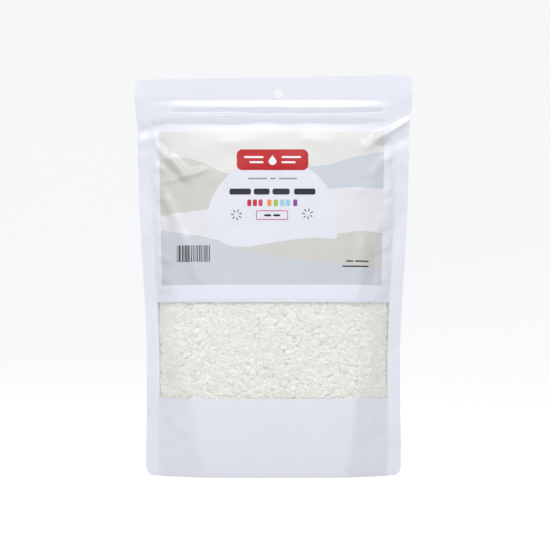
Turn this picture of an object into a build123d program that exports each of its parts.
from build123d import *
import math
import os
import random

import numpy as np

# Stand-up zip pouch filled with granulated wax.
# Millimetres. +Z up, front face towards -Y, +X to the right seen from the front.
# Origin: centre of the footprint, on the plane the pouch stands on.
# Throughout, side is -1 for the front and 1 for the back; hand is -1 for left and 1 for right.

# ---------------------------------------------------------------- pouch and its webs
POUCH_W = 180.0          # flat width of the pouch, at the header
POUCH_H = 257.1          # standing height at the middle of the top edge
TOP_SKEW = 1.7           # the top edge rises this much from middle to right edge
SEAL_W = 8.4             # side seal width
CORNER_R = 5.0           # rounded pouch corners
TOP_CORNER_SHIFT = 0.09  # the skew moves the top corner centres down right, up left
FILM_T = 0.20            # laminate wall
SEAL_GAP = 0.01          # half gap between the two welded webs
FRONT_EXTRA = 0.13       # the front web stands this much further out, room for the window ply
FRONT_OFFSET = SEAL_GAP + FRONT_EXTRA
CROWN = 0.15             # share of the bulge that is a wide crown; the rest has steep sides
LINING_GAP = 0.06        # zip tapes and gusset lie this far inside the webs

# ---------------------------------------------------------------- window and label
WINDOW_Z0 = 49.7         # lower edge of the clear window; it runs from seal to seal
HINGE_Z = 111.0          # the upper webs flex from this height when the mouth opens
WINDOW_Z1 = HINGE_Z - 0.1
WINDOW_TUCK = 5.0        # the clear ply goes on behind the front web this far
WINDOW_T = 0.10
WINDOW_OFFSET = 0.02     # inner face of the ply, outwards from the bulge surface
WINDOW_SIDE_GAP = 0.05
LIP_GAP = 0.15           # slit between the moving upper webs and the fixed webs

LABEL_HALF_W = 74.3
LABEL_Z0 = 111.4
LABEL_Z1 = 228.0
LABEL_T = 0.12           # face stock and adhesive
LABEL_GAP = 0.02         # between the label and the front web

# ---------------------------------------------------------------- tear line, notches, hang hole
TEAR_Z = 243.2           # tear line between the notches
TEAR_GAP = 0.10
STRIP_TOP = TEAR_Z - TEAR_GAP
NOTCH_Z = 246.8          # mean height of the two tear notches
NOTCH_SKEW = 1.5         # the right notch is this much higher, the left one lower
NOTCH_DEPTH = 2.6
NOTCH_H = 2.4
HANG_HOLE_R = 3.0
HANG_HOLE_X = 3.2
HANG_HOLE_Z = 246.9

# ---------------------------------------------------------------- zip
ZIP_Z = 232.2            # zip profile centre
ZIP_HALF_L = 66.0        # half length of the profile, the rest is crushed flat
ZIP_TAPE_Z0 = 226.8
ZIP_TAPE_Z1 = 237.4
ZIP_TAPE_T = 0.22
ZIP_TAPE_INSET = 2.8     # from the side seals to the tape ends
STEM_SPANS = 16          # straight spans along a stem's root
RIB_STEM_HALF_H = 0.42
RIB_STEM_Y = 0.1         # where the rib's stem ends, inside its head
# Rib head section: y, height from ZIP_Z
RIB_HEAD = [(0.0, -0.5), (0.1, -0.62), (0.72, -0.2), (0.72, 0.2), (0.1, 0.62), (0.0, 0.5)]
GROOVE_LIP_Y = -0.62     # where the groove's two walls end
GROOVE_WALL = (0.82, 1.45)   # near and far faces of each wall, from ZIP_Z

# ---------------------------------------------------------------- gusset
GUSSET_T = 0.20
GUSSET_HALF_W = 68.0
GUSSET_MID_H = 14.0      # height of the opened gusset arch in the middle
GUSSET_END_H = 34.0      # and at its ends, where it is still folded

# ---------------------------------------------------------------- wax
WAX_TOP = 166.0
WAX_FRONT = 3.7          # depth of the layer of loose granules in front of the packed core
WAX_BACK = 1.0
WAX_SIDE = 8.0           # the core ends this far inside the side seals
WAX_BASE = 8.0           # lower edge of the core's front face
WAX_BACK_MARGIN = 1.0    # the back cutting face runs past the front one, below and above
WAX_BACK_SPARE = 0.5     # and on each side
WAX_GUSSET_GAP = 2.0     # height of the core above the gusset arch
UNDER_HALF_W = 72.0      # half width of what is cut away under the core
UNDER_Z = -5.0
UNDER_SPANS = 24
MAX_LEAN = 2.2           # limit on the extra clearance where a web is steep

CHIP_R = 3.2             # largest flake radius in the front layer
CHIP_SPREAD = 0.5        # range of the flake radii
CHIP_H = (1.3, 1.8)      # range of flake thickness
FRONT_CHIP_SINK = 1.9    # flake centres inside the front bulge surface
FRONT_CHIP_TILT = 0.06
FRONT_CHIP_MIN_DEPTH = 4.5
TOP_CHIP_R = (2.5, 3.0)
TOP_CHIP_TILT = 0.2
TOP_CHIP_Z = WAX_TOP + 1.95
TOP_CHIP_LIMIT_Z = WAX_TOP + 3   # height at which the room for the top flakes is taken
TOP_CHIP_FRONT_GAP = 6.0
TOP_CHIP_BACK_GAP = 4.5

CUT_REACH = 60.0         # through-cutting shapes reach this far along Y


# ---------------------------------------------------------------- shape of the filled webs
def fitted(stations, degree):
    """Polynomial fitted through (height, value) stations."""
    heights, values = zip(*stations)
    return np.polynomial.Polynomial.fit(np.array(heights), values, degree)


def blend_curve(z0, value0, slope0, z1, value1, slope1):
    """Cubic that meets the value and slope given at z0 and at z1."""

    def curve(z):
        span = z1 - z0
        t = (z - z0) / span
        return (
            (2 * t ** 3 - 3 * t ** 2 + 1) * value0
            + (t ** 3 - 2 * t ** 2 + t) * span * slope0
            + (3 * t ** 2 - 2 * t ** 3) * value1
            + (t ** 3 - t ** 2) * span * slope1
        )

    return curve


# Height, half width of the outline: the bulge draws the side seals in, lower down.
HALF_W_FIT = fitted([
    (0, 81.8), (15, 81.8), (30, 81.8), (46, 81.8), (60, 81.8), (75, 81.8), (92, 81.9),
    (100, 82.2), (107, 82.6), (113, 82.95), (126, 83.9), (139, 84.9), (151, 85.6),
    (164, 86.3), (177, 86.9), (190, 87.3), (203, 87.5), (216, 87.8), (222, 88.1),
], 5)
# Height, depth of each web from the middle plane on the centre line.
DEPTH_FIT = fitted([
    (0, 22.6), (12, 23.3), (25, 23.9), (50, 24.5), (75, 24.3), (94, 23.6), (113, 22.1),
    (126, 20.5), (139, 18.5), (152, 16.5), (165, 14.5), (178, 12.5), (190, 10.5),
    (203, 8.2), (216, 5.1), (222, 3.5),
], 6)
BULGE_TOP = 222.0        # above this the webs run close together
ZIP_ZONE_Z0 = 229.0      # between these two the webs keep the zip's depth
ZIP_ZONE_Z1 = 237.5
FLAT_Z = 243.4           # above this the webs are flat and at full width
ZIP_DEPTH = 1.9


def blend_from(fit, z1, value1):
    """Blend from the top of a fitted curve to a level value at z1."""
    return blend_curve(
        BULGE_TOP, float(fit(BULGE_TOP)), float(fit.deriv()(BULGE_TOP)), z1, value1, 0)


HALF_W_BLEND = blend_from(HALF_W_FIT, FLAT_Z, POUCH_W / 2)
DEPTH_BLEND = blend_from(DEPTH_FIT, ZIP_ZONE_Z0, ZIP_DEPTH)
DEPTH_CLOSE = blend_curve(ZIP_ZONE_Z1, ZIP_DEPTH, 0, FLAT_Z, 0, 0)


def half_w(z):
    if z <= BULGE_TOP:
        return float(HALF_W_FIT(z))
    return HALF_W_BLEND(z) if z < FLAT_Z else POUCH_W / 2


def inner_w(z):
    """Half width inside the side seals."""
    return half_w(z) - SEAL_W


def mid_depth(z):
    if z <= BULGE_TOP:
        return float(DEPTH_FIT(z))
    if z <= ZIP_ZONE_Z0:
        return DEPTH_BLEND(z)
    if z <= ZIP_ZONE_Z1:
        return ZIP_DEPTH
    return DEPTH_CLOSE(z) if z < FLAT_Z else 0.0


def depth(x, z):
    """Distance of a web from the middle plane; nothing in the seals."""
    u = min(1.0, abs(x) / inner_w(z))
    return mid_depth(z) * ((1 - CROWN) * (1 - u ** 6) + CROWN * (1 - u * u))


def gradient(x, z):
    step = 0.3
    return (
        (depth(x + step, z) - depth(x - step, z)) / (2 * step),
        (depth(x, z + step) - depth(x, z - step)) / (2 * step),
    )


def top_z(x):
    return POUCH_H + TOP_SKEW * x / (POUCH_W / 2)


def notch_z(hand):
    return NOTCH_Z + hand * NOTCH_SKEW


def gusset_h(x):
    return GUSSET_MID_H + (GUSSET_END_H - GUSSET_MID_H) * (x / GUSSET_HALF_W) ** 4


# ---------------------------------------------------------------- helpers
def cosine_stations(n):
    return [0.5 * (1 - math.cos(math.pi * i / n)) for i in range(n + 1)]


def bezier_face(point_at, u_degree, v_degree):
    """The Bezier face that passes through point_at(u, v) at its cosine stations."""

    def inverse(n):
        return np.linalg.inv(np.array([
            [math.comb(n, k) * t ** k * (1 - t) ** (n - k) for k in range(n + 1)]
            for t in cosine_stations(n)]))

    grid = np.array([
        [point_at(u, v) for v in cosine_stations(v_degree)] for u in cosine_stations(u_degree)])
    poles = np.einsum("ij,jkc,lk->ilc", inverse(u_degree), grid, inverse(v_degree))
    return Face.make_bezier_surface([[Vector(*pole) for pole in row] for row in poles])


def cuts(z0, z1):
    """z0 to z1, broken where the curves of the pouch change."""
    return [z0] + [z for z in (BULGE_TOP, ZIP_ZONE_Z0, ZIP_ZONE_Z1) if z0 < z < z1] + [z1]


def film(point_at, u_degree, thickness, marks):
    """Film over point_at(u, z), in one piece per span of the z marks, thickened along Y."""
    film_body = None
    for z0, z1 in zip(marks, marks[1:]):
        face = bezier_face(
            lambda u, v: point_at(u, z0 + (z1 - z0) * v), u_degree, 6 if z1 <= BULGE_TOP else 3)
        piece = Solid.extrude(face, Vector(0, thickness, 0))
        film_body = piece if film_body is None else film_body.fuse(piece)
    return film_body


def web(side, offset, thickness, width_at, z0, z1):
    """A web from z0 to z1, width_at(z) to each side; offset and thickness go outwards."""

    def point_at(u, z):
        x = (2 * u - 1) * width_at(z)
        return (x, side * (depth(x, z) + offset), z)

    return film(point_at, 6, side * thickness, cuts(z0, z1))


def prism(points, y0=-CUT_REACH, y1=CUT_REACH):
    """A prism along Y over an XZ outline."""
    wire = Wire.make_polygon([Vector(x, y0, z) for x, z in points], close=True)
    return Solid.extrude(Face(wire), Vector(0, y1 - y0, 0))


def y_cylinder(x, z, radius):
    return Solid.make_cylinder(
        radius, 2 * CUT_REACH, Plane(origin=(x, -CUT_REACH, z), z_dir=(0, 1, 0)))


def corner_cutter(hand, edge_x, centre_z, outer_z):
    """What a rounded corner takes away; outer_z is beyond the pouch's edge."""
    centre_x = hand * (edge_x - CORNER_R)
    outer_x = hand * (edge_x + 3)
    square = prism([
        (centre_x, centre_z), (outer_x, centre_z), (outer_x, outer_z), (centre_x, outer_z)])
    return square - y_cylinder(centre_x, centre_z, CORNER_R)


def save(shape, name):
    solids = list(shape) if isinstance(shape, list) else list(shape.solids())
    if not solids or any(solid.volume < 0.05 for solid in solids):
        raise ValueError(name + " is empty or has crumbs")
    part = solids[0] if len(solids) == 1 else Compound(children=solids)
    part.label = name
    export_step(part, "parts/" + name + ".step")


# ---------------------------------------------------------------- webs
def seal_strip(side, offset, hand, marks):
    """One web's side seal over the z marks, with a wedge up to the tear notch."""

    def point_at(u, z):
        return (hand * (inner_w(z) + u * SEAL_W), side * offset, z)

    strip = film(point_at, 1, side * FILM_T, marks)
    apex_z = notch_z(hand) - TEAR_GAP
    wedge = prism(
        [(hand * inner_w(STRIP_TOP), STRIP_TOP), (hand * half_w(STRIP_TOP), STRIP_TOP),
         (hand * POUCH_W / 2, apex_z - NOTCH_H / 2),
         (hand * (POUCH_W / 2 - NOTCH_DEPTH), apex_z)],
        side * offset, side * (offset + FILM_T))
    return strip.fuse(wedge)


def fixed_web(side, offset, top):
    """The web up to top, and the seal strips that go on up to the tear line."""
    panel = web(side, offset, FILM_T, inner_w, 0.0, top)
    for hand in (-1, 1):
        panel = panel.fuse(seal_strip(side, offset, hand, [0.0] + cuts(top, STRIP_TOP)))
        panel = panel - corner_cutter(hand, half_w(0), CORNER_R, -3)
    return panel


def upper_film(side, offset):
    """An upper web, free between the seals once torn open."""
    return web(
        side, offset, FILM_T, lambda z: inner_w(z) - LIP_GAP, HINGE_Z + LIP_GAP, STRIP_TOP)


def window_film():
    return web(
        -1, WINDOW_OFFSET, WINDOW_T, lambda z: inner_w(z) - WINDOW_SIDE_GAP,
        WINDOW_Z0 - WINDOW_TUCK, WINDOW_Z1)


def front_label():
    return web(
        -1, FRONT_OFFSET + FILM_T + LABEL_GAP, LABEL_T, lambda z: LABEL_HALF_W,
        LABEL_Z0, LABEL_Z1)


def tear_strip():
    """Header above the tear line, both webs sealed together."""
    edge = POUCH_W / 2
    header = prism(
        [(-inner_w(TEAR_Z), TEAR_Z), (inner_w(TEAR_Z), TEAR_Z),
         (edge - NOTCH_DEPTH, notch_z(1)), (edge, notch_z(1) + NOTCH_H / 2),
         (edge, top_z(edge)), (-edge, top_z(-edge)),
         (-edge, notch_z(-1) + NOTCH_H / 2), (-edge + NOTCH_DEPTH, notch_z(-1))],
        -(FRONT_OFFSET + FILM_T), FILM_T + SEAL_GAP)
    for hand in (-1, 1):
        z = top_z(hand * edge)
        centre_z = z - CORNER_R - hand * TOP_CORNER_SHIFT
        header = header - corner_cutter(hand, edge, centre_z, z + 5)
    return header - y_cylinder(HANG_HOLE_X, HANG_HOLE_Z, HANG_HOLE_R)


# ---------------------------------------------------------------- press-to-close zip
def zip_tape(side, outer):
    return web(
        side, outer, -ZIP_TAPE_T, lambda z: inner_w(z) - ZIP_TAPE_INSET,
        ZIP_TAPE_Z0, ZIP_TAPE_Z1)


def zip_stem(side, outer, y_end, z0, z1):
    """A rib running along the tape, from inside the tape to y_end; z from ZIP_Z."""
    base_z = ZIP_Z + z0
    root = outer - ZIP_TAPE_T / 2
    xs = [ZIP_HALF_L * (2 * i / STEM_SPANS - 1) for i in range(STEM_SPANS + 1)]
    points = [Vector(x, side * (depth(x, ZIP_Z) + root), base_z) for x in xs]
    points += [Vector(ZIP_HALF_L, y_end, base_z), Vector(-ZIP_HALF_L, y_end, base_z)]
    return Solid.extrude(Face(Wire.make_polygon(points, close=True)), Vector(0, 0, z1 - z0))


def zip_rib():
    outer = FRONT_OFFSET - LINING_GAP
    stem = zip_stem(-1, outer, RIB_STEM_Y, -RIB_STEM_HALF_H, RIB_STEM_HALF_H)
    rib = zip_tape(-1, outer).fuse(stem)
    head = Wire.make_polygon([Vector(-ZIP_HALF_L, y, ZIP_Z + z) for y, z in RIB_HEAD], close=True)
    return rib.fuse(Solid.extrude(Face(head), Vector(2 * ZIP_HALF_L, 0, 0)))


def zip_groove():
    outer = SEAL_GAP - LINING_GAP
    groove = zip_tape(1, outer)
    near, far = GROOVE_WALL
    for z0, z1 in ((near, far), (-far, -near)):
        groove = groove.fuse(zip_stem(1, outer, GROOVE_LIP_Y, z0, z1))
    return groove


# ---------------------------------------------------------------- bottom gusset
def bottom_gusset():
    """Film opened into an arch between the two webs."""

    def point_at(u, v):
        x = GUSSET_HALF_W * (2 * u - 1)
        across = 2 * v - 1
        leg = depth(x, 0) - LINING_GAP + 0.5 * SEAL_GAP
        shift = 0.5 * FRONT_EXTRA
        y = (leg + shift) * math.sin(math.pi * across / 2) - shift
        return (x, y, gusset_h(x) * (1 - across ** 4))

    return Solid.thicken(bezier_face(point_at, 8, 10), GUSSET_T, normal_override=(0, 0, -1))


# ---------------------------------------------------------------- wax
def core_side(side, clear, z0, z1, spare):
    """Everything behind one face of the core, clear of that web."""

    def point_at(u, v):
        z = z0 + (z1 - z0) * v
        x = (2 * u - 1) * (inner_w(z) - WAX_SIDE + spare)
        slope_x, slope_z = gradient(x, z)
        lean = min(MAX_LEAN, math.sqrt(1 + slope_x * slope_x + slope_z * slope_z))
        return (x, side * (depth(x, z) - clear * lean), z)

    return Solid.extrude(bezier_face(point_at, 8, 8), Vector(0, -CUT_REACH * side, 0))


def wax_core():
    """The packed mass, cut clear of the gusset arch."""
    half_spans = UNDER_SPANS / 2
    xs = [UNDER_HALF_W * (i / half_spans - 1) for i in range(UNDER_SPANS + 1)]
    under = prism(
        [(x, gusset_h(x) + WAX_GUSSET_GAP) for x in xs]
        + [(UNDER_HALF_W, UNDER_Z), (-UNDER_HALF_W, UNDER_Z)])
    front = core_side(-1, WAX_FRONT, WAX_BASE, WAX_TOP, 0)
    back = core_side(
        1, WAX_BACK, WAX_BASE - WAX_BACK_MARGIN, WAX_TOP + WAX_BACK_MARGIN, WAX_BACK_SPARE)
    return (front & back) - under


rng = random.Random(11)   # shared by both layers, front first


def jitter(amount):
    return rng.uniform(-amount, amount)


def chip(centre, normal, size, height):
    """One flake: an irregular prism lying across the normal."""
    sides = rng.choice((4, 5, 5, 6))
    turn = rng.uniform(0, 2 * math.pi)
    plane = Plane(origin=centre, z_dir=normal)
    points = []
    for k in range(sides):
        angle = turn + 2 * math.pi * (k + jitter(0.22)) / sides
        radius = size * rng.uniform(0.72, 1.0)
        points.append(plane.from_local_coords(
            Vector(radius * math.cos(angle), radius * math.sin(angle), -height / 2)))
    base = Face(Wire.make_polygon(points, close=True))
    return Solid.extrude(base, Vector(*normal).normalized() * height)


def scattered(x_range, row_range, stagger, spread):
    """Jittered places in rows; ranges are start, stop, pitch; odd rows start at + stagger."""
    x_start, x_stop, x_pitch = x_range
    for row, across in enumerate(np.arange(*row_range)):
        for x in np.arange(x_start + row % 2 * stagger, x_stop, x_pitch):
            yield float(x) + jitter(spread), float(across) + jitter(spread)


def front_granules():
    """Flakes lying against the front web, behind the window."""
    chips = []
    rows = (WINDOW_Z0 - 3, HINGE_Z + 4, 6.6)
    for x, z in scattered((-64.8, 70.0, 7.2), rows, stagger=-3.6, spread=0.25):
        if depth(x, z) > FRONT_CHIP_MIN_DEPTH:
            slope_x, slope_z = gradient(x, z)
            normal = Vector(-slope_x, -1.0, -slope_z).normalized()
            centre = Vector(x, -depth(x, z), z) - normal * FRONT_CHIP_SINK
            tilt_x = normal.X + jitter(FRONT_CHIP_TILT)
            tilt = (tilt_x, normal.Y, normal.Z + jitter(FRONT_CHIP_TILT))
            size = rng.uniform(CHIP_R - CHIP_SPREAD, CHIP_R)
            chips.append(chip(centre, tilt, size, rng.uniform(*CHIP_H)))
    return chips


def top_granules():
    """Flakes lying on top of the core."""
    chips = []
    rows = (-9.0, 11.0, 6.4)
    for x, y in scattered((-62.0, 62.0, 7.0), rows, stagger=3.4, spread=0.3):
        room = depth(x, TOP_CHIP_LIMIT_Z)
        if -(room - TOP_CHIP_FRONT_GAP) < y < room - TOP_CHIP_BACK_GAP:
            tilt = (jitter(TOP_CHIP_TILT), jitter(TOP_CHIP_TILT), 1.0)
            size = rng.uniform(*TOP_CHIP_R)
            chips.append(chip((x, y, TOP_CHIP_Z), tilt, size, rng.uniform(*CHIP_H)))
    return chips


os.makedirs("parts", exist_ok=True)
save(fixed_web(-1, FRONT_OFFSET, WINDOW_Z0), "front_panel")
save(fixed_web(1, SEAL_GAP, HINGE_Z), "back_panel")
save(upper_film(-1, FRONT_OFFSET), "front_upper_film")
save(upper_film(1, SEAL_GAP), "back_upper_film")
save(window_film(), "window_film")
save(front_label(), "front_label")
save(tear_strip(), "tear_strip")
save(zip_rib(), "zip_rib_track")
save(zip_groove(), "zip_groove_track")
save(bottom_gusset(), "bottom_gusset")
save(wax_core(), "wax_fill")
save(front_granules(), "wax_granules_front")
save(top_granules(), "wax_granules_top")
